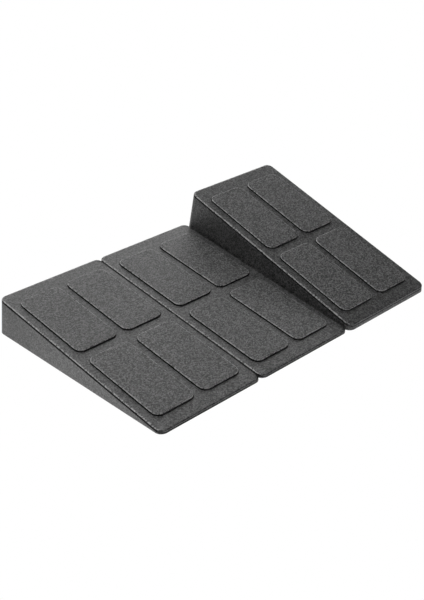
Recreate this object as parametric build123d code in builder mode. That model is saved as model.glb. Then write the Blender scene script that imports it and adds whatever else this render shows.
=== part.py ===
from build123d import *

import os
from dataclasses import dataclass, replace
from math import asin, cos, degrees

# A set of three loose wedge blocks of moulded bead foam, standing side by side: two equal low
# blocks and one tall block. Each block has a sloped deck with four grip pads bonded into
# shallow seats. All sizes are in millimetres.
#
# Frame: +X runs across the blocks, from the left low block to the tall one. +Y runs up the
# slope, from the thin front lip to the high rear face. +Z is up, and z = 0 is the floor. The
# origin is the middle of the set's footprint.

# Outline of a block. The deck length is measured along the slope.
block_width = 155.0
deck_length = 305.0
corner_radius = 9.0
deck_edge_radius = 1.5
base_edge_radius = 0.8

# Heights of a block, at the front lip and at the rear edge of its deck, and how much further
# back the foot of its rear face stands than the deck's rear edge.
low_lip_height = 4.5
low_rear_height = 53.0
low_rear_lean = 11.0
tall_lip_height = 8.5
tall_rear_height = 104.0
tall_rear_lean = 23.5

# How the blocks stand: the clear gap beside the middle block, and the tall block's lead.
low_gap = 0.5
tall_gap = 1.2
tall_lead = 2.0

# Grip pads: a two by two grid on the deck, inside margins, with a channel each way.
side_margin = 12.2
front_margin = 20.5
rear_margin = 22.5
long_channel = 10.6
cross_channel = 14.0
pad_proud = 2.5
seat_depth = 1.5
seat_gap = 0.25
pad_corner_radius = 10.0
pad_edge_radius = 1.2

# Parting groove: a fine groove that the mould's split leaves round the block, under the deck.
groove_drop = 2.1
groove_width = 1.2
groove_depth = 1.2

# Vent marks: shallow discs that the mould's steam vents leave on the underside.
vent_radius = 4.5
vent_depth = 0.4
vent_columns = 3
vent_rows = 5
vent_side_margin = 29.5
vent_end_margin = 44.0

# Fill marks: shallow discs that the mould's two bead injectors leave on the rear face.
fill_radius = 9.0
fill_depth = 0.6
fill_side_margin = 38.5

# A cutting shape reaches this far past the faces that it has to clear.
overcut = 5.0

# An edge counts as upright if at least this share of its direction is along Z.
upright_share = 0.9

pad_width = (block_width - 2 * side_margin - long_channel) / 2
pad_length = (deck_length - front_margin - rear_margin - cross_channel) / 2
pad_pitch_across = pad_width + long_channel
pad_pitch_along = pad_length + cross_channel
pad_rows = {"front": front_margin + pad_length / 2, "rear": front_margin + pad_length / 2 + pad_pitch_along}
pad_columns = {"left": -pad_pitch_across / 2, "right": pad_pitch_across / 2}


@dataclass(frozen=True)
class Block:
    """One wedge block: its name, the place of its front left foot, its heights and its lean."""

    name: str
    left: float
    front: float
    lip: float
    rear: float
    lean: float

    @property
    def slope(self):
        """Angle between the deck and the floor, in radians."""
        return asin((self.rear - self.lip) / deck_length)

    @property
    def deck_reach(self):
        """Length of the deck seen from above."""
        return deck_length * cos(self.slope)

    @property
    def base_length(self):
        """Length of the block on the floor."""
        return self.deck_reach + self.lean

    @property
    def deck(self):
        """Plane of the deck: X across, Y up the slope, origin at the middle of the front edge."""
        middle = self.left + block_width / 2
        level = Plane(origin=(middle, self.front, self.lip), x_dir=(1, 0, 0), z_dir=(0, 0, 1))
        return level.rotated((degrees(self.slope), 0, 0))

    @property
    def rear_face(self):
        """Plane of the leaning rear face, facing out, with its origin at half height."""
        middle = self.left + block_width / 2
        foot = Vector(middle, self.front + self.base_length, 0)
        brow = Vector(middle, self.front + self.deck_reach, self.rear)
        outward = (foot - brow).cross(Vector(1, 0, 0))
        return Plane(origin=(foot + brow) * 0.5, x_dir=(-1, 0, 0), z_dir=outward * -1)

    @property
    def profile(self):
        """Corners of the side outline, as (y, z)."""
        return [
            (self.front, 0),
            (self.front + self.base_length, 0),
            (self.front + self.deck_reach, self.rear),
            (self.front, self.lip),
        ]

    @property
    def groove_floor_profile(self):
        """Side outline of the upright walls at the bottom of the parting groove, as (y, z)."""
        front = self.front + groove_depth
        rear = self.front + self.base_length - groove_depth
        lean_per_height = self.lean / self.rear
        top = self.rear + overcut
        return [
            (front, -overcut),
            (rear + lean_per_height * overcut, -overcut),
            (rear - lean_per_height * top, top),
            (front, top),
        ]


def rounded_prism(profile, left, width, radius):
    """Builder of a side outline drawn out along X, with its upright corners rounded."""
    with BuildPart() as prism:
        with BuildSketch(Plane.YZ.offset(left)):
            with BuildLine():
                Polyline(*profile, close=True)
            make_face()
        extrude(amount=width)
        upright = prism.edges().filter_by(lambda edge: abs((edge % 0.5).Z) > upright_share)
        fillet(upright, radius=radius)
    return prism


def parting_groove(block):
    """Builder of the ring that the parting groove takes away, parallel to the deck."""
    floor_of_groove = rounded_prism(
        block.groove_floor_profile,
        block.left + groove_depth,
        block_width - 2 * groove_depth,
        corner_radius - groove_depth,
    )
    with BuildPart() as ring:
        with BuildSketch(block.deck.offset(-groove_drop)):
            with Locations((0, deck_length / 2)):
                Rectangle(block_width + 2 * overcut, deck_length + 2 * overcut)
        extrude(amount=-groove_width)
        add(floor_of_groove.part, mode=Mode.SUBTRACT)
    return ring


def moulded_block(block):
    """Builder of the foam wedge with its rounded edges, groove, pad seats and mould marks."""
    outline = rounded_prism(block.profile, block.left, block_width, corner_radius)
    groove = parting_groove(block)
    with BuildPart() as body:
        add(outline.part)
        deck_face = body.faces().filter_by(lambda face: face.normal_at().Z > upright_share)
        fillet(deck_face.edges(), radius=deck_edge_radius)
        base_face = body.faces().filter_by(lambda face: face.normal_at().Z < -upright_share)
        fillet(base_face.edges(), radius=base_edge_radius)
        add(groove.part, mode=Mode.SUBTRACT)

        with BuildSketch(block.deck):
            with Locations(*[(x, y) for x in pad_columns.values() for y in pad_rows.values()]):
                RectangleRounded(
                    pad_width + 2 * seat_gap, pad_length + 2 * seat_gap, pad_corner_radius + seat_gap
                )
        extrude(amount=-seat_depth, mode=Mode.SUBTRACT)

        with BuildSketch(Plane.XY):
            with Locations((block.left + block_width / 2, block.front + block.base_length / 2)):
                across = (block_width - 2 * vent_side_margin) / (vent_columns - 1)
                along = (block.base_length - 2 * vent_end_margin) / (vent_rows - 1)
                with GridLocations(across, along, vent_columns, vent_rows):
                    Circle(vent_radius)
        extrude(amount=vent_depth, mode=Mode.SUBTRACT)

        with BuildSketch(block.rear_face):
            middle_to_mark = block_width / 2 - fill_side_margin
            with Locations((-middle_to_mark, 0), (middle_to_mark, 0)):
                Circle(fill_radius)
        extrude(amount=-fill_depth, mode=Mode.SUBTRACT)
    return body


def grip_pad(block, across, along):
    """Builder of one pad, seated on its recess's floor and standing proud of the deck."""
    with BuildPart() as pad:
        with BuildSketch(block.deck.offset(-seat_depth)):
            with Locations((across, along)):
                RectangleRounded(pad_width, pad_length, pad_corner_radius)
        extrude(amount=seat_depth + pad_proud)
        tread = pad.faces().sort_by(Axis(block.deck.origin, block.deck.z_dir))[-1]
        fillet(tread.edges(), radius=pad_edge_radius)
    return pad


# The blocks in their places. The footprint runs from the foremost lip to the rearmost foot, and
# its middle is the origin.
set_width = 3 * block_width + low_gap + tall_gap
first_left = -set_width / 2
middle_left = first_left + block_width + low_gap
tall_left = middle_left + block_width + tall_gap
low_sizes = (low_lip_height, low_rear_height, low_rear_lean)
tall_sizes = (tall_lip_height, tall_rear_height, tall_rear_lean)
unplaced = [
    Block("low_left_block", first_left, 0, *low_sizes),
    Block("low_middle_block", middle_left, 0, *low_sizes),
    Block("tall_block", tall_left, -tall_lead, *tall_sizes),
]
foremost = min(block.front for block in unplaced)
rearmost = max(block.front + max(block.base_length, block.deck_reach) for block in unplaced)
blocks = [replace(block, front=block.front - (foremost + rearmost) / 2) for block in unplaced]

os.makedirs("parts", exist_ok=True)

for block in blocks:
    body = moulded_block(block)
    body.part.label = block.name
    export_step(body.part, f"parts/{block.name}.step")

    for row, along in pad_rows.items():
        for column, across in pad_columns.items():
            pad = grip_pad(block, across, along)
            pad.part.label = block.name.replace("block", f"pad_{row}_{column}")
            export_step(pad.part, f"parts/{pad.part.label}.step")

    print(f"{block.name}: slope {degrees(block.slope):.2f} degrees, base {block.base_length:.2f}")
    print(f"  deck starts at {tuple(round(c, 3) for c in block.deck.origin)}")
print(f"pads {pad_width:.2f} by {pad_length:.2f}")
print(f"footprint {set_width:.2f} by {rearmost - foremost:.2f}")
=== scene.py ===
"""Looks of a set of three loose foam wedge blocks with grip pads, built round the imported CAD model.

Everything is in metres, in the CAD frame: +X across the blocks, +Y up the slope, +Z up, and the floor at
z = 0. Each block and each pad is one closed surface, worked out as grids of points with numpy.
"""

import logging
from dataclasses import dataclass, field
from enum import Enum
from math import asin, cos, radians, sin

import bmesh
import bpy
import numpy as np
from mathutils import Matrix, Vector


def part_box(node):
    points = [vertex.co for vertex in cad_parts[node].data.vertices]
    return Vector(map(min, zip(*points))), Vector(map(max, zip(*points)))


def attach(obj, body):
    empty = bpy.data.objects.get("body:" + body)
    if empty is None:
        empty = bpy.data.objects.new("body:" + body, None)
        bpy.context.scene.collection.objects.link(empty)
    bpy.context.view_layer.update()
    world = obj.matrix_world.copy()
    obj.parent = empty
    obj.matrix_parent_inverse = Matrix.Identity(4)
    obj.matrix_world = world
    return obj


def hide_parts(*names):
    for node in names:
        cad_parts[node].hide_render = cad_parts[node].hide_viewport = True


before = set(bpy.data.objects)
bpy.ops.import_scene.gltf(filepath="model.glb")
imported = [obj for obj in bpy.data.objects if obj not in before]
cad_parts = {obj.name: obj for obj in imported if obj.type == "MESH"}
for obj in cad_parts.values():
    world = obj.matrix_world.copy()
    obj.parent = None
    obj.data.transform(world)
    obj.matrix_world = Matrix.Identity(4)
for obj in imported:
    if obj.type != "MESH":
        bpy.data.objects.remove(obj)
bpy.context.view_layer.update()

log = logging.getLogger("wedge_blocks")

Tree = bpy.types.NodeTree
Socket = bpy.types.NodeSocket

MM = 0.001

# A pad's half width, half length and corner radius, and the gap round it in its seat, in metres.
PAD_SIZES = (30 * MM, 62 * MM, 10 * MM)
SEAT_GAP = 0.25 * MM

# Points nearer than this are one point: grids that meet are welded into one closed surface.
WELD_DISTANCE = 0.002 * MM

# A wall faces the rear if at least this share of its normal points along Y.
REAR_FACING = 0.9

# Turns of the rows that round the rim of a pad's seat.
SEAT_RIM_TURNS_DEG = (30, 60, 90)

# Faces that meet at more than this angle keep a sharp edge between them.
SHARP_ANGLE = radians(40)


class Row(Enum):
    """End of the deck that a pad lies at: the value is its direction along Y from the cross channel."""

    FRONT = -1
    REAR = 1


class Column(Enum):
    """Side of the deck that a pad lies on: the value is its direction along X from the long channel."""

    LEFT = -1
    RIGHT = 1


# ---- Colours and material nodes ----


def linear_colour(hex_code: str) -> tuple[float, float, float, float]:
    """Turns an sRGB colour into the linear light that shaders work in.

    Args:
        hex_code: The colour as six hex digits, such as "4a4b4d".

    Returns:
        Linear red, green and blue, and an alpha of 1.
    """
    coded = np.array([int(hex_code[i : i + 2], 16) for i in (0, 2, 4)]) / 255
    linear = np.where(coded <= 0.04045, coded / 12.92, ((coded + 0.055) / 1.055) ** 2.4)
    return (*linear.tolist(), 1.0)


def add_node(tree: Tree, kind: str, inputs: dict | None = None, **settings: object) -> bpy.types.Node:
    """Adds a node to a material, with its settings and links.

    Args:
        tree: The node tree that gets the node.
        kind: Blender's name of the node type.
        inputs: For each input's name or number, either a plain value or the socket that feeds it.
        settings: Values for the node's own properties.

    Returns:
        The new node.
    """
    node = tree.nodes.new(kind)
    for name, value in settings.items():
        setattr(node, name, value)
    for name, value in (inputs or {}).items():
        if isinstance(value, Socket):
            tree.links.new(value, node.inputs[name])
        else:
            node.inputs[name].default_value = value
    return node


def new_material(name: str) -> tuple[bpy.types.Material, Tree]:
    """Makes a material with an empty node tree.

    Args:
        name: The material's name.

    Returns:
        The material and its tree.
    """
    made = bpy.data.materials.new(name)
    made.use_nodes = True
    made.node_tree.nodes.clear()
    return made, made.node_tree


def per_metre(size_mm: float) -> float:
    """Scale of a procedural pattern whose features are this many millimetres across."""
    return 1 / (size_mm * MM)


@dataclass(frozen=True)
class Sheen:
    """How a skin takes light, apart from its colour: roughness and index of refraction."""

    roughness: float
    ior: float

    def coat(self, tree: Tree, colour: Socket, gloss: Socket, bump: Socket) -> None:
        """Adds the skin's shader and its output.

        Args:
            tree: The material's node tree.
            colour: Colour of the surface.
            gloss: Specular level.
            bump: Bumped normal.
        """
        inputs = {"Base Color": colour, "Specular IOR Level": gloss, "Normal": bump}
        inputs |= {"Roughness": self.roughness, "IOR": self.ior}
        shader = add_node(tree, "ShaderNodeBsdfPrincipled", inputs)
        add_node(tree, "ShaderNodeOutputMaterial", {"Surface": shader.outputs["BSDF"]})


@dataclass(frozen=True)
class EdgeWearAndPaintedLight:
    """Wear and painted light: edges are painted paler, as a painted highlight and as rub, and lines, gaps and
    walls in shade get painted shade.

    It reads the piece's wear attribute, from 1 for a painted highlight to -1 for painted shade, dark and
    without gloss.
    """

    # Paler colour of the painted highlight on edges, which is also the rub on the base edge.
    rubbed_and_highlit: str
    # Near-black colour of the painted shade.
    painted_shade: str = "0c0c0c"
    gloss: float = 0.5

    def add(self, tree: Tree, skin: Socket, grain_tone: Socket) -> tuple[Socket, Socket]:
        """Adds the wear, the painted highlight and the painted shade over a clean surface.

        Args:
            tree: The material's node tree.
            skin: Colour of the clean surface.
            grain_tone: Tone of the grain, which breaks up the painted highlight and the rubbing.

        Returns:
            The colour with wear, painted highlight and painted shade, and the specular level, which drops
            under the painted shade.
        """
        wear = add_node(tree, "ShaderNodeAttribute", attribute_name="wear").outputs["Fac"]
        # Painted highlight: positive values mix the colour towards the paler edge colour.
        rub_and_highlight = add_node(
            tree, "ShaderNodeMath", {0: wear, 1: grain_tone}, operation="MULTIPLY", use_clamp=True
        ).outputs[0]
        rubbed_and_highlit = add_node(
            tree, "ShaderNodeMix", {0: rub_and_highlight, 6: skin, 7: linear_colour(self.rubbed_and_highlit)}, data_type="RGBA"
        ).outputs[2]
        # Painted shade: negative values mix the colour towards near-black and take the gloss away.
        painted_shade = add_node(
            tree, "ShaderNodeMapRange", {"Value": wear, "From Min": 0.0, "From Max": -1.0}
        ).outputs["Result"]
        with_painted_shade = add_node(
            tree, "ShaderNodeMix", {0: painted_shade, 6: rubbed_and_highlit, 7: linear_colour(self.painted_shade)}, data_type="RGBA"
        ).outputs[2]
        gloss = add_node(
            tree, "ShaderNodeMapRange", {"Value": painted_shade, "To Min": self.gloss, "To Max": 0.0}
        ).outputs["Result"]
        return with_painted_shade, gloss


@dataclass(frozen=True)
class Mottle:
    """Uneven tone of a moulded skin: a fine grain of specks, each with its own tone, and a slow drift.

    Such a grain is usually finer than a millimetre. It is drawn coarser, so that it shows.
    """

    grain_contrast: float
    drift_mm: float
    drift_contrast: float
    drift_detail: float
    grain_mm: float = 1.5
    grain_spread: float = 0.35
    drift_spread: float = 0.25

    def add(self, tree: Tree, place: Socket) -> tuple[Socket, Socket, Socket]:
        """Adds the grain and the drift. Each tone runs from 1 less its contrast to 1 plus it.

        Args:
            tree: The material's node tree.
            place: Object coordinates.

        Returns:
            The grain itself, the grain's tone, and the tone of grain and drift together.
        """
        specks = {"Vector": place, "Scale": per_metre(self.grain_mm)}
        colours = add_node(tree, "ShaderNodeTexVoronoi", specks, feature="F1").outputs["Color"]
        grain = add_node(tree, "ShaderNodeSeparateColor", {"Color": colours}).outputs["Red"]
        waves = {"Vector": place, "Scale": per_metre(self.drift_mm), "Detail": self.drift_detail}
        drift = add_node(tree, "ShaderNodeTexNoise", waves).outputs["Fac"]
        tones = []
        for pattern, spread, contrast in (
            (grain, self.grain_spread, self.grain_contrast),
            (drift, self.drift_spread, self.drift_contrast),
        ):
            inputs = {"Value": pattern, "From Min": 0.5 - spread, "From Max": 0.5 + spread}
            inputs |= {"To Min": 1 - contrast, "To Max": 1 + contrast}
            tones.append(add_node(tree, "ShaderNodeMapRange", inputs).outputs["Result"])
        both = add_node(tree, "ShaderNodeMath", {0: tones[0], 1: tones[1]}, operation="MULTIPLY")
        return grain, tones[0], both.outputs[0]


@dataclass(frozen=True)
class BeadFoamSkin:
    """Expanded polypropylene bead foam, fused by steam in a closed mould and coloured charcoal in the mass.

    The beads swell against the mould, so the skin is smooth and matt. It shows the flat polygons of
    single beads a few millimetres across, each with its own tone, thin sunken seams between them, and
    a fine mottle of pores. Its edges get a painted highlight, and its groove and gaps get painted shade.
    """

    name: str = "bead_foam_charcoal"
    colour: str = "3e3e3e"
    dark_bead: str = "2a2a2a"
    bead_mm: float = 2.8
    seam_share: float = 0.08
    seam_shade: float = 0.85
    mottle: Mottle = Mottle(grain_contrast=0.95, drift_mm=45.0, drift_contrast=0.1, drift_detail=3.0)
    sheen: Sheen = Sheen(roughness=0.45, ior=1.49)
    seam_depth_mm: float = 0.04
    grain_depth_mm: float = 0.05
    # Painted highlight on the edges in 8a8a8a, and painted shade in the groove and gaps.
    wear: EdgeWearAndPaintedLight = EdgeWearAndPaintedLight("8a8a8a")

    def material(self) -> bpy.types.Material:
        """Builds the material, which reads object coordinates and the piece's wear attribute.

        Returns:
            The finished material.
        """
        made, tree = new_material(self.name)
        place = add_node(tree, "ShaderNodeTexCoord").outputs["Object"]
        cells = {"Vector": place, "Scale": per_metre(self.bead_mm)}
        bead = add_node(tree, "ShaderNodeTexVoronoi", cells, feature="F1")
        edge = add_node(tree, "ShaderNodeTexVoronoi", cells, feature="DISTANCE_TO_EDGE")
        flat = add_node(
            tree,
            "ShaderNodeMapRange",
            {"Value": edge.outputs["Distance"], "From Min": 0.0, "From Max": self.seam_share},
            interpolation_type="SMOOTHSTEP",
        ).outputs["Result"]
        grain, grain_tone, tone = self.mottle.add(tree, place)

        beads = add_node(
            tree,
            "ShaderNodeMix",
            {0: bead.outputs["Color"], 6: linear_colour(self.dark_bead), 7: linear_colour(self.colour)},
            data_type="RGBA",
        ).outputs[2]
        seam_tone = add_node(
            tree, "ShaderNodeMapRange", {"Value": flat, "To Min": self.seam_shade, "To Max": 1.0}
        ).outputs["Result"]
        tone = add_node(tree, "ShaderNodeMath", {0: seam_tone, 1: tone}, operation="MULTIPLY")
        skin = add_node(
            tree, "ShaderNodeHueSaturation", {"Value": tone.outputs[0], "Color": beads}
        ).outputs["Color"]

        worn_and_painted, gloss = self.wear.add(tree, skin, grain_tone)
        seam_bump = add_node(
            tree, "ShaderNodeBump", {"Distance": self.seam_depth_mm * MM, "Height": flat}
        ).outputs["Normal"]
        bump = add_node(
            tree,
            "ShaderNodeBump",
            {"Distance": self.grain_depth_mm * MM, "Height": grain, "Normal": seam_bump},
        ).outputs["Normal"]
        self.sheen.coat(tree, worn_and_painted, gloss, bump)
        return made


@dataclass(frozen=True)
class PebbledGripSheet:
    """Cross-linked EVA foam sheet, its face embossed by a pebbled roll and its edges die-cut and rolled.

    The embossing gives a fine even grain of small domes on a matt rubbery ground, painted paler at their tops
    and darker between them as painted shade in the pits. The domes are usually finer than a millimetre, and
    are drawn coarser, so that they show. The tone is mottled, and the rolled edge gets a painted highlight,
    with painted shade on the walls below it.
    """

    name: str = "eva_sheet_pebbled"
    colour: str = "4f4f4f"
    # Painted shade in the pits between the domes.
    pit_painted_shade: str = "333333"
    pebble_mm: float = 1.5
    pebble_blend: float = 0.3
    pebble_top: float = 0.1
    pebble_foot: float = 0.7
    mottle: Mottle = Mottle(grain_contrast=0.88, drift_mm=30.0, drift_contrast=0.06, drift_detail=2.0)
    sheen: Sheen = Sheen(roughness=0.55, ior=1.5)
    pebble_height_mm: float = 0.2
    # Painted highlight on the rolled edge in 909090, and painted shade on the walls.
    wear: EdgeWearAndPaintedLight = EdgeWearAndPaintedLight("909090")

    def material(self) -> bpy.types.Material:
        """Builds the material, which reads object coordinates and the piece's wear attribute.

        Returns:
            The finished material.
        """
        made, tree = new_material(self.name)
        place = add_node(tree, "ShaderNodeTexCoord").outputs["Object"]
        pebble = add_node(
            tree,
            "ShaderNodeTexVoronoi",
            {"Vector": place, "Scale": per_metre(self.pebble_mm), "Smoothness": self.pebble_blend},
            feature="SMOOTH_F1",
        ).outputs["Distance"]
        dome = add_node(
            tree,
            "ShaderNodeMapRange",
            {"Value": pebble, "From Min": self.pebble_foot, "From Max": self.pebble_top},
        ).outputs["Result"]
        _, grain_tone, tone = self.mottle.add(tree, place)
        # The dome's height mixes painted shade into the pits and leaves the tops paler.
        ground = add_node(
            tree,
            "ShaderNodeMix",
            {0: dome, 6: linear_colour(self.pit_painted_shade), 7: linear_colour(self.colour)},
            data_type="RGBA",
        ).outputs[2]
        sheet = add_node(
            tree, "ShaderNodeHueSaturation", {"Value": tone, "Color": ground}
        ).outputs["Color"]
        worn_and_painted, gloss = self.wear.add(tree, sheet, grain_tone)
        bump = add_node(
            tree, "ShaderNodeBump", {"Distance": self.pebble_height_mm * MM, "Height": dome}
        ).outputs["Normal"]
        self.sheen.coat(tree, worn_and_painted, gloss, bump)
        return made


# ---- Surfaces ----


def run(start: tuple[float, float], end: tuple[float, float], steps: int) -> np.ndarray:
    """Points at equal spacing from start towards end, with the end left out.

    Args:
        start: First point.
        end: Point that the run heads for.
        steps: Number of points.

    Returns:
        The points, one row each.
    """
    share = (np.arange(steps) / steps)[:, None]
    return np.array(start) * (1 - share) + np.array(end) * share


def directions(start_deg: float, end_deg: float, steps: int) -> np.ndarray:
    """Unit vectors that turn evenly from one angle towards another, with the last left out.

    Args:
        start_deg: First angle, in degrees from +X towards +Y.
        end_deg: Angle that they turn towards.
        steps: Number of vectors.

    Returns:
        The vectors, one row each.
    """
    angle = np.radians(start_deg + (end_deg - start_deg) * np.arange(steps) / steps)
    return np.stack([np.cos(angle), np.sin(angle)], axis=1)


def turn_between(first: np.ndarray, last: np.ndarray, share: float) -> np.ndarray:
    """Unit vectors part of the way round the arc from first to last, as a rolling ball's fillet needs.

    The weights are sines of the two part angles over the sine of the whole angle.

    Args:
        first: Unit vectors, one row each.
        last: Unit vectors, one row each.
        share: 0 at first and 1 at last.

    Returns:
        The turned vectors, one row each.
    """
    whole = np.arccos(np.clip(np.sum(first * last, axis=1), -1, 1))[:, None]
    return (np.sin((1 - share) * whole) * first + np.sin(share * whole) * last) / np.sin(whole)


def soft_waves(across: np.ndarray, along: np.ndarray, wavelength: float, seed: int) -> np.ndarray:
    """Height from -1 to 1 of slow waves: the mean of a few sine waves in seeded directions and phases.

    Args:
        across: First coordinate of each point, in metres.
        along: Second coordinate of each point, in metres.
        wavelength: Mean distance between crests, in metres.
        seed: Seed of the directions, lengths and phases.

    Returns:
        The height at each point.
    """
    draw = np.random.default_rng(seed)
    heading = draw.uniform(0, 2 * np.pi, 7)
    number = 2 * np.pi / wavelength * draw.uniform(0.6, 1.5, 7)
    phase = draw.uniform(0, 2 * np.pi, 7)
    travel = across[..., None] * np.cos(heading) + along[..., None] * np.sin(heading)
    return np.sin(travel * number + phase).mean(axis=-1)


def soft_step(value: np.ndarray, low: float, high: float) -> np.ndarray:
    """Smooth rise from 0 at low to 1 at high: the cubic 3 t squared less 2 t cubed."""
    share = np.clip((value - low) / (high - low), 0, 1)
    return share * share * (3 - 2 * share)


@dataclass
class Shell:
    """A closed surface that is gathered grid by grid, then welded into one mesh."""

    name: str
    points: list[np.ndarray] = field(default_factory=list)
    wear: list[np.ndarray] = field(default_factory=list)
    quads: list[np.ndarray] = field(default_factory=list)
    count: int = 0

    def add_ring_grid(self, rows: list[np.ndarray], wear: np.ndarray | float = 0.0) -> None:
        """Adds a surface through closed rows of points: each quad joins two rows and two neighbours.

        Args:
            rows: Closed rows with the same number of points, each of shape (n, 3).
            wear: Wear and painted light of each point, from 1 for a painted highlight to -1 for painted
                shade, as one number, a column with one number for each row, or a full grid.
        """
        grid = np.stack(rows)
        height, width = grid.shape[:2]
        index = np.arange(height * width).reshape(height, width) + self.count
        beside = np.roll(index, -1, axis=1)
        corners = [index[:-1], beside[:-1], beside[1:], index[1:]]
        self.quads.append(np.stack(corners, axis=-1).reshape(-1, 4))
        self.points.append(grid.reshape(-1, 3))
        # The values carry the painted highlight, above 0, and the painted shade, below 0.
        self.wear.append(np.broadcast_to(wear, (height, width)).ravel())
        self.count += height * width

    def mesh_object(self) -> bpy.types.Object:
        """Welds the grids, closes the poles, turns the faces outward and shades the result smooth.

        Returns:
            The new object, at the origin, with its place in its mesh.
        """
        points, quads = np.concatenate(self.points), np.concatenate(self.quads)
        mesh = bpy.data.meshes.new(self.name)
        mesh.vertices.add(len(points))
        mesh.vertices.foreach_set("co", points.astype(np.float32).ravel())
        mesh.loops.add(quads.size)
        mesh.loops.foreach_set("vertex_index", quads.astype(np.int32).ravel())
        mesh.polygons.add(len(quads))
        mesh.polygons.foreach_set("loop_start", np.arange(0, quads.size, 4, dtype=np.int32))
        mesh.update(calc_edges=True)
        worn_and_painted = mesh.attributes.new("wear", "FLOAT", "POINT")
        worn_and_painted.data.foreach_set("value", np.concatenate(self.wear).astype(np.float32))

        welded = bmesh.new()
        welded.from_mesh(mesh)
        bmesh.ops.remove_doubles(welded, verts=welded.verts, dist=WELD_DISTANCE)
        bmesh.ops.recalc_face_normals(welded, faces=welded.faces)
        welded.to_mesh(mesh)
        open_edges = sum(not edge.is_manifold for edge in welded.edges)
        triangles = sum(len(face.verts) - 2 for face in welded.faces)
        welded.free()
        mesh.polygons.foreach_set("use_smooth", np.ones(len(mesh.polygons), dtype=bool))
        mesh.set_sharp_from_angle(angle=SHARP_ANGLE)
        made = bpy.data.objects.new(self.name, mesh)
        bpy.context.scene.collection.objects.link(made)
        log.info("%s: %d triangles, %d open edges", self.name, triangles, open_edges)
        return made


@dataclass(frozen=True)
class PadCell:
    """The part of a deck round one pad: half sizes and corner radius of the pad, and counts of steps.

    A cell is a quarter of the deck, seen from the middle of the deck outward: p runs across to the block's
    side and q along to its end. The walk goes round the cell from the middle of the end edge, past the
    block's corner, down its side, and back along the two middle lines.
    """

    half_width: float
    half_length: float
    corner_radius: float
    steps_across: int = 30
    steps_along: int = 76
    steps_half_turn: int = 6

    def walk(self, centre: tuple[float, float], grow: float) -> np.ndarray:
        """Walk round a rounded oblong: spine rectangle corners and sides, plus radius times the normal.

        Args:
            centre: Middle of the oblong, as p and q.
            grow: How far outside the pad's own outline the walk runs.

        Returns:
            Points of shape (n, 2), in step with the cell's walk.
        """
        p, q = centre
        near_p, far_p = (p + side * (self.half_width - self.corner_radius) for side in (-1, 1))
        near_q, far_q = (q + side * (self.half_length - self.corner_radius) for side in (-1, 1))
        half, across, along = self.steps_half_turn, self.steps_across, self.steps_along
        spine = np.concatenate(
            [
                run((near_p, far_q), (near_p, far_q), half),
                run((near_p, far_q), (far_p, far_q), across),
                run((far_p, far_q), (far_p, far_q), 2 * half),
                run((far_p, far_q), (far_p, near_q), along),
                run((far_p, near_q), (far_p, near_q), 2 * half),
                run((far_p, near_q), (near_p, near_q), across),
                run((near_p, near_q), (near_p, near_q), 2 * half),
                run((near_p, near_q), (near_p, far_q), along),
                run((near_p, far_q), (near_p, far_q), half),
            ]
        )
        normal = np.concatenate(
            [
                directions(135, 90, half),
                directions(90, 90, across),
                directions(90, 0, 2 * half),
                directions(0, 0, along),
                directions(0, -90, 2 * half),
                directions(-90, -90, across),
                directions(-90, -180, 2 * half),
                directions(-180, -180, along),
                directions(-180, -225, half),
            ]
        )
        return spine + (self.corner_radius + grow) * normal


# Height of the lip, height of the deck's rear edge, and how much further back the rear face's foot is.
LOW_HEIGHTS = (4.5 * MM, 53 * MM, 11 * MM)
TALL_HEIGHTS = (8.5 * MM, 104 * MM, 23.5 * MM)

# The painted light down a deck's rounded edge, from the deck to the wall: painted highlight above and
# painted shade below. The tall block's edges get the painted highlight further down.
LOW_EDGE_HIGHLIGHT_AND_SHADE = (0.5, 0.9, 1.0, 0.5, -0.2, -0.8, -1.0)
TALL_EDGE_HIGHLIGHT_AND_SHADE = (0.6, 1.0, 1.0, 1.0, 0.7, 0.1, -0.6)


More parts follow.
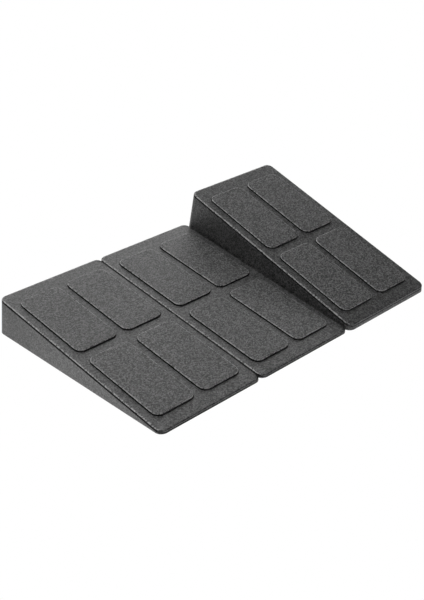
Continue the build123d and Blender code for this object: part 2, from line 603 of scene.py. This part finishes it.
@dataclass
class WedgeBlock:
    """One moulded foam wedge, as one closed surface in place of its CAD node.

    Lengths are in metres. The deck rises from the lip at the front to the rear edge, and the rear face
    leans, so that its foot stands further back than its top. The left and rear edges of the deck get a
    painted highlight, and the front edge none. right_edge_highlight_and_shade is the painted light of the
    right edge: below 0 it is painted shade, where a neighbour stands against it.
    """

    node: str
    body: str
    lip: float
    rear: float
    lean: float
    cell: PadCell
    right_edge_highlight_and_shade: float
    edge_wear: tuple[float, ...]
    deck_length: float = 305 * MM
    corner_radius: float = 9 * MM
    deck_edge_radius: float = 1.5 * MM
    base_edge_radius: float = 0.8 * MM
    front_margin: float = 20.5 * MM
    cross_channel: float = 14 * MM
    pad_length: float = 124 * MM
    pad_across: float = 35.3 * MM
    seat_depth: float = 1.5 * MM
    seat_rim_radius: float = 0.3 * MM
    groove_drop: float = 2.1 * MM
    groove_width: float = 1.2 * MM
    groove_depth: float = 1.2 * MM
    groove_rim_radius: float = 0.15 * MM
    vent_radius: float = 4.5 * MM
    vent_depth: float = 0.4 * MM
    vent_side_margin: float = 29.5 * MM
    vent_end_margin: float = 44 * MM
    vent_columns: int = 3
    vent_rows: int = 5
    fill_radius: float = 9 * MM
    fill_depth: float = 0.6 * MM
    fill_side_margin: float = 38.5 * MM
    mark_edge: float = 1.2 * MM
    wave_height: float = 0.12 * MM
    wave_length: float = 38 * MM
    deck_seed: int = 7
    wall_seed: int = 11
    # Share of the deck's outer rings that get painted shade beside a neighbour.
    painted_shade_share: float = 0.15
    base_wear: tuple[float, ...] = (0.0, 0.4, 0.6, 0.4, 0.0)
    deck_rings: int = 14
    wall_rows: int = 40
    base_rings: int = 40

    def __post_init__(self) -> None:
        """Takes the block's place from its CAD node."""
        low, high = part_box(self.node)
        self.middle = (low[0] + high[0]) / 2
        self.half_width = (high[0] - low[0]) / 2
        self.front = low[1]
        self.slope = asin((self.rear - self.lip) / self.deck_length)
        self.base_length = self.deck_length * cos(self.slope) + self.lean
        self.split = (self.front_margin + self.pad_length + self.cross_channel / 2) * cos(self.slope)
        self.deck_normal = np.array([0.0, -sin(self.slope), cos(self.slope)])
        self.lean_per_height = self.lean / self.rear

    # ---- the outline ----

    def quarter_walk(self, row: Row, column: Column) -> tuple[np.ndarray, np.ndarray]:
        """Walk along the block's outline from the middle of an end, past a corner, to the deck's split.

        Its steps match the outer part of a pad cell's walk. Straight parts move the spine point, and the
        corner turns the normal.

        Args:
            row: Front or rear end.
            column: Left or right side.

        Returns:
            Spine points and outward normals in plan, of shape (n + 1, 2), with both ends in.
        """
        cell = self.cell
        end = self.split if row is Row.FRONT else self.base_length - self.split
        corner_p, corner_q = self.half_width - self.corner_radius, end - self.corner_radius
        near_p = self.pad_across - cell.half_width + cell.corner_radius
        far_p = self.pad_across + cell.half_width - cell.corner_radius
        seat_q = (self.cross_channel / 2 + self.pad_length / 2) * cos(self.slope)
        spread = (cell.half_length - cell.corner_radius) * cos(self.slope)
        near_q, far_q = seat_q - spread, seat_q + spread
        half, turn = cell.steps_half_turn, cell.steps_half_turn // 2
        spine = np.concatenate(
            [
                run((0, corner_q), (near_p, corner_q), half),
                run((near_p, corner_q), (far_p, corner_q), cell.steps_across),
                run((far_p, corner_q), (corner_p, corner_q), turn),
                run((corner_p, corner_q), (corner_p, corner_q), half),
                run((corner_p, corner_q), (corner_p, far_q), turn),
                run((corner_p, far_q), (corner_p, near_q), cell.steps_along),
                run((corner_p, near_q), (corner_p, 0), half),
                [(corner_p, 0)],
            ]
        )
        normal = np.concatenate(
            [
                directions(90, 90, half + cell.steps_across + turn),
                directions(90, 0, half),
                directions(0, 0, turn + cell.steps_along + half + 1),
            ]
        )
        flip = np.array([column.value, row.value])
        return spine * flip + np.array([0, self.split]), normal * flip

    def outline(self) -> tuple[np.ndarray, np.ndarray]:
        """Walk round the whole block, from the middle of the front end towards the right.

        Returns:
            Spine points and outward normals in plan, of shape (n, 2), measured from the middle of the
            front edge.
        """
        quarters = []
        for row, column, forward in (
            (Row.FRONT, Column.RIGHT, True),
            (Row.REAR, Column.RIGHT, False),
            (Row.REAR, Column.LEFT, True),
            (Row.FRONT, Column.LEFT, False),
        ):
            spine, normal = self.quarter_walk(row, column)
            order = slice(None) if forward else slice(None, None, -1)
            quarters.append((spine[order][:-1], normal[order][:-1]))
        return tuple(np.concatenate(part) for part in zip(*quarters))

    def lean_share(self, spine: np.ndarray) -> np.ndarray:
        """How far each step follows the rear face's lean: 0 up to the split, then rising to 1 at the rear."""
        rear_spine = self.base_length - self.corner_radius
        return np.clip((spine[:, 1] - self.split) / (rear_spine - self.split), 0, 1) * self.lean_per_height

    def wall_normal(self, spine: np.ndarray, normal: np.ndarray) -> np.ndarray:
        """Outward normal of the wall in space: the plan normal, tipped up where the rear face leans."""
        tipped = np.column_stack([normal, self.lean_share(spine) * normal[:, 1]])
        return tipped / np.linalg.norm(tipped, axis=1, keepdims=True)

    def wall_at_height(
        self, spine: np.ndarray, normal: np.ndarray, height: np.ndarray, inset: float = 0.0
    ) -> np.ndarray:
        """Points of the wall at given heights: spine plus radius times normal, moved forward by the lean.

        Args:
            spine: Spine points in plan.
            normal: Outward normals in plan.
            height: Height of each point above the floor.
            inset: How far inside the wall the points lie.

        Returns:
            Points in space, in the block's own frame.
        """
        plan = spine + (self.corner_radius - inset) * normal
        return np.column_stack([plan[:, 0], plan[:, 1] - self.lean_share(spine) * height, height])

    def height_under_deck(
        self, spine: np.ndarray, normal: np.ndarray, drop: float, inset: float = 0.0
    ) -> np.ndarray:
        """Height at which the wall lies a given distance under the deck's plane.

        The distance is measured square to the deck, which makes a linear equation in the height.

        Args:
            spine: Spine points in plan.
            normal: Outward normals in plan.
            drop: Distance under the deck's plane.
            inset: How far inside the wall the points lie.

        Returns:
            The height at each step.
        """
        along = spine[:, 1] + (self.corner_radius - inset) * normal[:, 1]
        rise = sin(self.slope) * along + cos(self.slope) * self.lip - drop
        return rise / (cos(self.slope) + self.lean_share(spine) * sin(self.slope))

    def deck_edge_arcs(self, spine: np.ndarray, normal: np.ndarray, shares: list[float]) -> list[np.ndarray]:
        """Rows of the rounded edge between deck and wall, as a ball rolling inside both would leave it.

        The ball's centre is one radius inside the wall and one under the deck. Each row is the centre plus
        the radius times a direction between the two normals.

        Args:
            spine: Spine points in plan.
            normal: Outward normals in plan.
            shares: Where each row lies, from 0 on the deck to 1 on the wall.

        Returns:
            The rows, in the block's own frame.
        """
        radius = self.deck_edge_radius
        out = self.wall_normal(spine, normal)
        lean = self.lean_share(spine)
        along = spine[:, 1] + self.corner_radius * normal[:, 1] - radius * out[:, 1]
        rise = sin(self.slope) * along + cos(self.slope) * (self.lip + radius * out[:, 2]) - radius
        touch = rise / (cos(self.slope) + lean * sin(self.slope))
        centre = self.wall_at_height(spine, normal, touch) - radius * out
        up = np.broadcast_to(self.deck_normal, out.shape)
        return [centre + radius * turn_between(up, out, share) for share in shares]

    def base_edge_arcs(self, spine: np.ndarray, normal: np.ndarray, shares: list[float]) -> list[np.ndarray]:
        """Rows of the rounded edge between wall and underside, worked out as for the deck's edge.

        Args:
            spine: Spine points in plan.
            normal: Outward normals in plan.
            shares: Where each row lies, from 0 on the wall to 1 on the underside.

        Returns:
            The rows, in the block's own frame.
        """
        radius = self.base_edge_radius
        out = self.wall_normal(spine, normal)
        centre = self.wall_at_height(spine, normal, radius * (1 + out[:, 2])) - radius * out
        down = np.broadcast_to(np.array([0.0, 0.0, -1.0]), out.shape)
        return [centre + radius * turn_between(out, down, share) for share in shares]

    # ---- the parts of the surface ----

    def placed(self, points: np.ndarray) -> np.ndarray:
        """Points moved from the block's own frame to the set's frame."""
        return points + np.array([self.middle, self.front, 0.0])

    def on_deck(self, across: np.ndarray, along: np.ndarray, drop: float | np.ndarray = 0.0) -> np.ndarray:
        """Points at a distance under the deck's plane.

        Args:
            across: Distance from the block's middle line.
            along: Distance up the slope from the front edge.
            drop: Distance under the plane.

        Returns:
            Points in the block's own frame.
        """
        plane = np.column_stack([across, along * cos(self.slope), self.lip + along * sin(self.slope)])
        return plane - np.reshape(drop, (-1, 1)) * self.deck_normal

    def add_deck_cell(self, shell: Shell, row: Row, column: Column) -> None:
        """Adds a quarter of the deck: rings from its outer edge in to the seat's rim, wall and floor.

        Args:
            shell: The block's surface.
            row: Front or rear quarter.
            column: Left or right quarter.
        """
        cell = self.cell
        spine, normal = self.quarter_walk(row, column)
        rim = self.deck_edge_arcs(spine, normal, [0.0])[0]
        outer = np.column_stack([rim[:, 0], rim[:, 1] / cos(self.slope)])
        split = self.split / cos(self.slope)
        side_p, end_q = outer[-1, 0], outer[0, 1]
        flip = np.array([column.value, row.value])
        centre = (self.pad_across, self.cross_channel / 2 + self.pad_length / 2)

        near_p, far_p = (centre[0] + s * (cell.half_width - cell.corner_radius) for s in (-1, 1))
        near_q, far_q = (centre[1] + s * (cell.half_length - cell.corner_radius) for s in (-1, 1))
        half = cell.steps_half_turn
        seam_q = (outer[-1, 1] - split) * row.value
        inner = np.concatenate(
            [
                run((abs(side_p), seam_q), (far_p, seam_q), half),
                run((far_p, seam_q), (near_p, seam_q), cell.steps_across),
                run((near_p, seam_q), (0, seam_q), half),
                run((0, seam_q), (0, near_q), half),
                run((0, near_q), (0, far_q), cell.steps_along),
                run((0, far_q), (0, abs(end_q - split)), half),
            ]
        )
        boundary = np.concatenate([outer[:-1], inner * flip + np.array([0, split])])

        def seat(grow: float) -> np.ndarray:
            """Outline of the seat, moved out by a distance, in deck coordinates."""
            return cell.walk(centre, grow) * flip + np.array([0, split])

        rim_radius = self.seat_rim_radius
        lip_of_seat = seat(rim_radius)
        beside_neighbour = np.concatenate([np.clip(normal[:-1, 0], 0, 1), np.zeros(len(inner))])
        # Painted shade on the deck's rim where a neighbour stands beside it.
        neighbour_shade = max(-self.right_edge_highlight_and_shade, 0.0) * beside_neighbour
        rows, wear = [], []

        # The outermost rings get painted shade where a neighbour stands beside them.
        for share in np.linspace(0, 1, self.deck_rings + 1):
            flat = boundary * (1 - share) + lip_of_seat * share
            away = 4 * share * (1 - share)
            wave = soft_waves(flat[:, 0] + self.middle, flat[:, 1], self.wave_length, self.deck_seed)
            rows.append(self.on_deck(flat[:, 0], flat[:, 1], self.wave_height * away * wave))
            wear.append(-np.clip(neighbour_shade * (1 - share / self.painted_shade_share), 0, 1))
        for turned in SEAT_RIM_TURNS_DEG:
            grow = rim_radius * (1 - sin(radians(turned)))
            flat = seat(grow)
            rows.append(self.on_deck(flat[:, 0], flat[:, 1], rim_radius * (1 - cos(radians(turned)))))
        wall = seat(0.0)
        rows.append(self.on_deck(wall[:, 0], wall[:, 1], self.seat_depth))

        # The seat's floor closes on its own middle line.
        middle = np.column_stack([np.zeros(len(wall)), wall[:, 1] - split - row.value * centre[1]])
        room = cell.half_length - cell.half_width
        middle[:, 1] = np.clip(middle[:, 1], -room, room)
        middle += np.array([column.value * centre[0], split + row.value * centre[1]])
        for share in (0.25, 0.5, 0.75, 1.0):
            flat = wall * (1 - share) + middle * share
            rows.append(self.on_deck(flat[:, 0], flat[:, 1], self.seat_depth))
        wear += [np.zeros(len(wall))] * (len(rows) - len(wear))
        shell.add_ring_grid([self.placed(points) for points in rows], np.stack(wear))

    def add_walls(self, shell: Shell) -> None:
        """Adds the band round the block: deck edge, parting groove, wall and base edge, row by row.

        Args:
            shell: The block's surface.
        """
        spine, normal = self.outline()
        rows = self.deck_edge_arcs(spine, normal, [0.0, 0.17, 0.33, 0.5, 0.67, 0.83, 1.0])
        wear = list(self.edge_wear)

        top, floor, lip = self.groove_drop, self.groove_depth, self.groove_rim_radius
        bottom = top + self.groove_width
        # The parting groove's rows get painted shade.
        for drop, inset, worn_and_painted in (
            (top - lip, 0, -1.0),
            (top - 0.3 * lip, 0.3 * lip, -1.0),
            (top, lip, -0.9),
            (top, floor - lip, -0.9),
            (top + lip, floor, -0.8),
            (bottom - lip, floor, -0.8),
            (bottom, floor - lip, -0.8),
            (bottom, lip, -0.6),
            (bottom + 0.3 * lip, 0.3 * lip, -0.3),
            (bottom + lip, 0, 0.0),
        ):
            height = self.height_under_deck(spine, normal, drop, inset)
            rows.append(self.wall_at_height(spine, normal, height, inset))
            wear.append(worn_and_painted)

        arcs = self.base_edge_arcs(spine, normal, [0.0, 0.25, 0.5, 0.75, 1.0])
        upper, lower = rows[-1][:, 2], arcs[0][:, 2]
        out = self.wall_normal(spine, normal)
        for share in np.linspace(0, 1, self.wall_rows + 1)[1:-1]:
            height = upper * (1 - share) + lower * share
            points = self.wall_at_height(spine, normal, height)
            rows.append(points - out * self.wall_relief(points, normal, share)[:, None])
            wear.append(0.0)
        rows += arcs
        wear += self.base_wear
        # The painted highlight is left off the front edge and cut by the right edge's value; the painted
        # shade is left off the front edge.
        front, right = np.clip(-normal[:, 1], 0, 1), np.clip(normal[:, 0], 0, 1)
        level = np.array(wear)[:, None]
        rubbed_and_highlit = 1 - front - right * (1 - self.right_edge_highlight_and_shade)
        shell.add_ring_grid(
            [self.placed(points) for points in rows],
            np.clip(np.where(level > 0, level * rubbed_and_highlit, level * (1 - front)), -1, 1),
        )

    def wall_relief(self, points: np.ndarray, normal: np.ndarray, share: float) -> np.ndarray:
        """Depth of the wall's slow waves and of the fill marks on the rear face.

        Waves fade out towards the wall's two edges. A fill mark is a disc at half the rear face's height.

        Args:
            points: Points of one row of the wall, in the block's own frame.
            normal: Outward normals in plan.
            share: 0 at the row under the groove, and 1 at the base edge.

        Returns:
            Depth at each point, in metres.
        """
        sideways = np.where(np.abs(normal[:, 0]) > np.abs(normal[:, 1]), points[:, 1], points[:, 0])
        wave = soft_waves(sideways + self.middle, points[:, 2], self.wave_length, self.wall_seed)
        depth = self.wave_height * 4 * share * (1 - share) * wave
        middle_to_mark = self.half_width - self.fill_side_margin
        off = np.hypot(np.abs(points[:, 0]) - middle_to_mark, points[:, 2] - self.rear / 2)
        disc = 1 - soft_step(off, self.fill_radius - self.mark_edge, self.fill_radius)
        return depth + self.fill_depth * disc * (normal[:, 1] > REAR_FACING)

    def add_underside(self, shell: Shell) -> None:
        """Adds the underside: rings from the base edge in to the middle line, with the vents' marks.

        Args:
            shell: The block's surface.
        """
        spine, normal = self.outline()
        rim = self.base_edge_arcs(spine, normal, [1.0])[0]
        room = self.half_width
        middle = np.column_stack([np.zeros(len(rim)), np.clip(rim[:, 1], room, self.base_length - room)])
        vents_x = np.linspace(-1, 1, self.vent_columns) * (self.half_width - self.vent_side_margin)
        last_vent = self.base_length - self.vent_end_margin
        vents_y = np.linspace(self.vent_end_margin, last_vent, self.vent_rows)
        rows = []
        for share in np.linspace(0, 1, self.base_rings + 1):
            flat = rim[:, :2] * (1 - share) + middle * share
            off_x = np.abs(flat[:, :1] - vents_x).min(axis=1)
            off_y = np.abs(flat[:, 1:] - vents_y).min(axis=1)
            off = np.hypot(off_x, off_y)
            disc = 1 - soft_step(off, self.vent_radius - self.mark_edge, self.vent_radius)
            rows.append(np.column_stack([flat, self.vent_depth * disc]))
        shell.add_ring_grid([self.placed(points) for points in rows])

    def build(self, material: bpy.types.Material) -> bpy.types.Object:
        """Builds the block and sets it in place of its CAD node.

        Args:
            material: The foam's finish.

        Returns:
            The finished piece.
        """
        shell = Shell(self.node.replace("_block", "_foam_wedge"))
        for row in Row:
            for column in Column:
                self.add_deck_cell(shell, row, column)
        self.add_walls(shell)
        self.add_underside(shell)
        piece = shell.mesh_object()
        piece.data.materials.append(material)
        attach(piece, self.body)
        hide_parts(self.node)
        return piece


@dataclass
class GripPad:
    """One grip pad, as a closed sheet with a rolled edge, in place of its CAD node.

    Lengths are in metres. The pad lies in its seat and stands proud of the deck. edge_wear
    holds the painted light of the rolled edge at each of its turns: painted highlight above, painted shade
    below. The walls get painted shade, and front_shade_reduction is the share of it that is missing at the
    front.
    """

    node: str
    body: str
    slope: float
    cell: PadCell
    thickness: float = 4.0 * MM
    edge_radius: float = 1.2 * MM
    crown: float = 0.12 * MM
    wave_height: float = 0.06 * MM
    wave_length: float = 24 * MM
    wave_seed: int = 5
    edge_turns_deg: tuple[int, ...] = (15, 30, 45, 60, 75, 90)
    # Painted highlight on the rolled edge's upper turns, and painted shade on its lower turns.
    edge_wear: tuple[float, ...] = (0.6, 1.0, 0.9, 0.3, -0.3, -0.7)
    front_shade_reduction: float = 0.6
    top_rings: int = 26
    floor_rings: int = 4

    def build(self, material: bpy.types.Material) -> bpy.types.Object:
        """Builds the pad: rings from the middle line out over the rolled edge, down, and under.

        The middle of the CAD node's box is the middle of the pad, because the pad is a plain plate.

        Args:
            material: The grip sheet's finish.

        Returns:
            The finished piece.
        """
        low, high = (np.array(corner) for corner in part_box(self.node))
        centre = (low + high) / 2
        up = np.array([0.0, -sin(self.slope), cos(self.slope)])
        along = np.array([0.0, cos(self.slope), sin(self.slope)])
        across = np.array([1.0, 0.0, 0.0])

        def place(flat: np.ndarray, height: float | np.ndarray) -> np.ndarray:
            """Points at a height over the pad's underside."""
            lift = np.reshape(height, (-1, 1)) - self.thickness / 2
            return centre + flat[:, :1] * across + flat[:, 1:] * along + lift * up

        room = self.cell.half_length - self.cell.half_width
        rim = self.cell.walk((0, 0), -self.edge_radius)
        middle = np.column_stack([np.zeros(len(rim)), np.clip(rim[:, 1], -room, room)])
        rows = []
        for share in np.linspace(0, 1, self.top_rings + 1):
            flat = middle * (1 - share) + rim * share
            inside = 1 - share**2
            wave = soft_waves(*(flat + centre[:2]).T, self.wave_length, self.wave_seed)
            sink = self.crown * share**2 + self.wave_height * inside * (1 + wave) / 2
            rows.append(place(flat, self.thickness - sink))
        wear = [0.0] * len(rows)
        top = self.thickness - self.crown
        for turned, worn_and_painted in zip(self.edge_turns_deg, self.edge_wear):
            grow = self.edge_radius * (sin(radians(turned)) - 1)
            flat = self.cell.walk((0, 0), grow)
            rows.append(place(flat, top - self.edge_radius * (1 - cos(radians(turned)))))
            wear.append(worn_and_painted)
        outside = self.cell.walk((0, 0), 0.0)
        rows.append(place(outside, self.thickness / 2))
        rows.append(place(outside, 0.0))
        for share in np.linspace(0, 1, self.floor_rings + 1)[1:]:
            rows.append(place(outside * (1 - share) + middle * share, 0.0))
        # The pad's walls get painted shade.
        wear += [-1.0, -1.0]
        wear += [0.0] * (len(rows) - len(wear))

        shell = Shell(self.node.replace("_pad_", "_grip_pad_"))
        level = np.array(wear)[:, None]
        # Less painted shade on the front walls.
        front = np.clip((rim - outside)[:, 1] / self.edge_radius, 0, 1)
        shell.add_ring_grid(rows, np.where(level < 0, level * (1 - self.front_shade_reduction * front), level))
        piece = shell.mesh_object()
        piece.data.materials.append(material)
        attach(piece, self.body)
        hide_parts(self.node)
        return piece


# ---- Studio ----


@dataclass(frozen=True)
class SoftLight:
    """A distant softbox: its direction seen from the set, how wide it looks, and how strong it is."""

    name: str
    azimuth_deg: float
    elevation_deg: float
    width_deg: float
    strength: float
    distance: float = 2.0

    def add(self) -> None:
        """Adds the light. Azimuth 0 is towards +Y and 90 towards +X."""
        light = bpy.data.lights.new(self.name, "SUN")
        light.energy = self.strength
        light.angle = radians(self.width_deg)
        turn, rise = radians(self.azimuth_deg), radians(self.elevation_deg)
        towards = Vector((sin(turn) * cos(rise), cos(turn) * cos(rise), sin(rise)))
        lamp = bpy.data.objects.new(self.name, light)
        lamp.rotation_mode = "QUATERNION"
        lamp.rotation_quaternion = towards.to_track_quat("Z", "Y")
        lamp.location = towards * self.distance
        bpy.context.scene.collection.objects.link(lamp)


@dataclass(frozen=True)
class Studio:
    """White floor, soft lights and the camera."""

    lights: tuple[SoftLight, ...] = (
        SoftLight("rear_left_high", -40, 54, 40, 2.4),
        SoftLight("rear_high", 30, 60, 40, 0.6),
        SoftLight("rear_low", 0, 40, 40, 0.45),
        SoftLight("right_low", 45, 20, 40, 1.05),
        SoftLight("front_fill", 170, 30, 60, 0.15),
    )
    ambient: float = 0.01
    floor_glow: float = 0.86
    rear_glow: float = 0.12
    glow_fades_from: float = 0.0
    glow_fades_to: float = 0.26
    board_colour: str = "f0f0f0"
    board_roughness: float = 0.9
    floor_half: float = 9.0
    floor_drop: float = 0.3 * MM
    camera_place: tuple[float, float, float] = (-0.7852, -0.8303, 0.64279)
    camera_right: tuple[float, float, float] = (0.72485, -0.68872, -0.01608)
    camera_up: tuple[float, float, float] = (0.34157, 0.33902, 0.87658)
    focal_length_mm: float = 60.29

    def add_camera(self) -> None:
        """Adds the camera, looking down on the set from the front left."""
        data = bpy.data.cameras.new("camera")
        data.lens = self.focal_length_mm
        data.sensor_width = 36.0
        data.clip_start, data.clip_end = 0.05, 60.0
        camera = bpy.data.objects.new("camera", data)
        right = Vector(self.camera_right).normalized()
        back = right.cross(Vector(self.camera_up)).normalized()
        up = back.cross(right)
        turned = Matrix((right, up, back)).transposed().to_4x4()
        camera.matrix_world = Matrix.Translation(self.camera_place) @ turned
        bpy.context.scene.collection.objects.link(camera)
        bpy.context.scene.camera = camera

    def add_floor(self) -> None:
        """Adds the floor: matt white board that lights the set, seen as plain white and clear from below."""
        half, drop = self.floor_half, -self.floor_drop
        corners = [(-half, -half, drop), (half, -half, drop), (half, half, drop), (-half, half, drop)]
        mesh = bpy.data.meshes.new("floor")
        mesh.from_pydata(corners, [], [(0, 1, 2, 3)])
        floor = bpy.data.objects.new("floor", mesh)
        bpy.context.scene.collection.objects.link(floor)
        made, tree = new_material("matt_white_board")
        place = add_node(tree, "ShaderNodeTexCoord").outputs["Object"]
        along = add_node(tree, "ShaderNodeSeparateXYZ", {"Vector": place}).outputs["Y"]
        glow = add_node(
            tree,
            "ShaderNodeMapRange",
            {
                "Value": along,
                "From Min": self.glow_fades_from,
                "From Max": self.glow_fades_to,
                "To Min": self.floor_glow,
                "To Max": self.rear_glow,
            },
            interpolation_type="SMOOTHSTEP",
        ).outputs["Result"]
        board = add_node(
            tree,
            "ShaderNodeBsdfPrincipled",
            {
                "Base Color": linear_colour(self.board_colour),
                "Roughness": self.board_roughness,
                "Emission Color": (1.0, 1.0, 1.0, 1.0),
                "Emission Strength": glow,
            },
        )
        plain = add_node(tree, "ShaderNodeEmission", {"Strength": 1.0})
        clear = add_node(tree, "ShaderNodeBsdfTransparent")
        seen = add_node(tree, "ShaderNodeLightPath").outputs["Is Camera Ray"]
        below = add_node(tree, "ShaderNodeNewGeometry").outputs["Backfacing"]
        above = add_node(
            tree, "ShaderNodeMixShader", {0: seen, 1: board.outputs["BSDF"], 2: plain.outputs["Emission"]}
        )
        shader = add_node(
            tree, "ShaderNodeMixShader", {0: below, 1: above.outputs[0], 2: clear.outputs["BSDF"]}
        )
        add_node(tree, "ShaderNodeOutputMaterial", {"Surface": shader.outputs[0]})
        mesh.materials.append(made)

    def add_surroundings(self) -> None:
        """Adds the even light of the room, and shows plain white beyond the floor."""
        world = bpy.data.worlds.new("room")
        bpy.context.scene.world = world
        world.use_nodes = True
        tree = world.node_tree
        tree.nodes.clear()
        dim = add_node(tree, "ShaderNodeBackground", {"Color": (1, 1, 1, 1), "Strength": self.ambient})
        white = add_node(tree, "ShaderNodeBackground", {"Color": (1, 1, 1, 1), "Strength": 1.0})
        seen = add_node(tree, "ShaderNodeLightPath").outputs["Is Camera Ray"]
        mixed = add_node(
            tree,
            "ShaderNodeMixShader",
            {0: seen, 1: dim.outputs["Background"], 2: white.outputs["Background"]},
        )
        add_node(tree, "ShaderNodeOutputWorld", {"Surface": mixed.outputs["Shader"]})

    def build(self) -> None:
        """Adds floor, surroundings, lights and camera, and keeps tones as they are lit."""
        self.add_floor()
        self.add_surroundings()
        for light in self.lights:
            light.add()
        self.add_camera()
        bpy.context.scene.view_settings.view_transform = "Standard"


def main() -> None:
    """Builds the set in order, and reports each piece."""
    foam, grip = BeadFoamSkin().material(), PebbledGripSheet().material()
    pad_cell, seat_cell = (PadCell(*(size + gap for size in PAD_SIZES)) for gap in (0.0, SEAT_GAP))
    blocks = [
        WedgeBlock("low_left_block", "low_left", *LOW_HEIGHTS, seat_cell, -1.6, LOW_EDGE_HIGHLIGHT_AND_SHADE),
        WedgeBlock("low_middle_block", "low_middle", *LOW_HEIGHTS, seat_cell, -0.8, LOW_EDGE_HIGHLIGHT_AND_SHADE),
        WedgeBlock("tall_block", "tall", *TALL_HEIGHTS, seat_cell, 0.2, TALL_EDGE_HIGHLIGHT_AND_SHADE),
    ]
    for block in blocks:
        block.build(foam)
        for row in Row:
            for column in Column:
                name = f"{block.body}_pad_{row.name}_{column.name}".lower()
                GripPad(name, block.body, block.slope, pad_cell).build(grip)
    Studio().build()


if __name__ == "__main__":
    logging.basicConfig(level=logging.INFO, format="%(message)s")
    main()
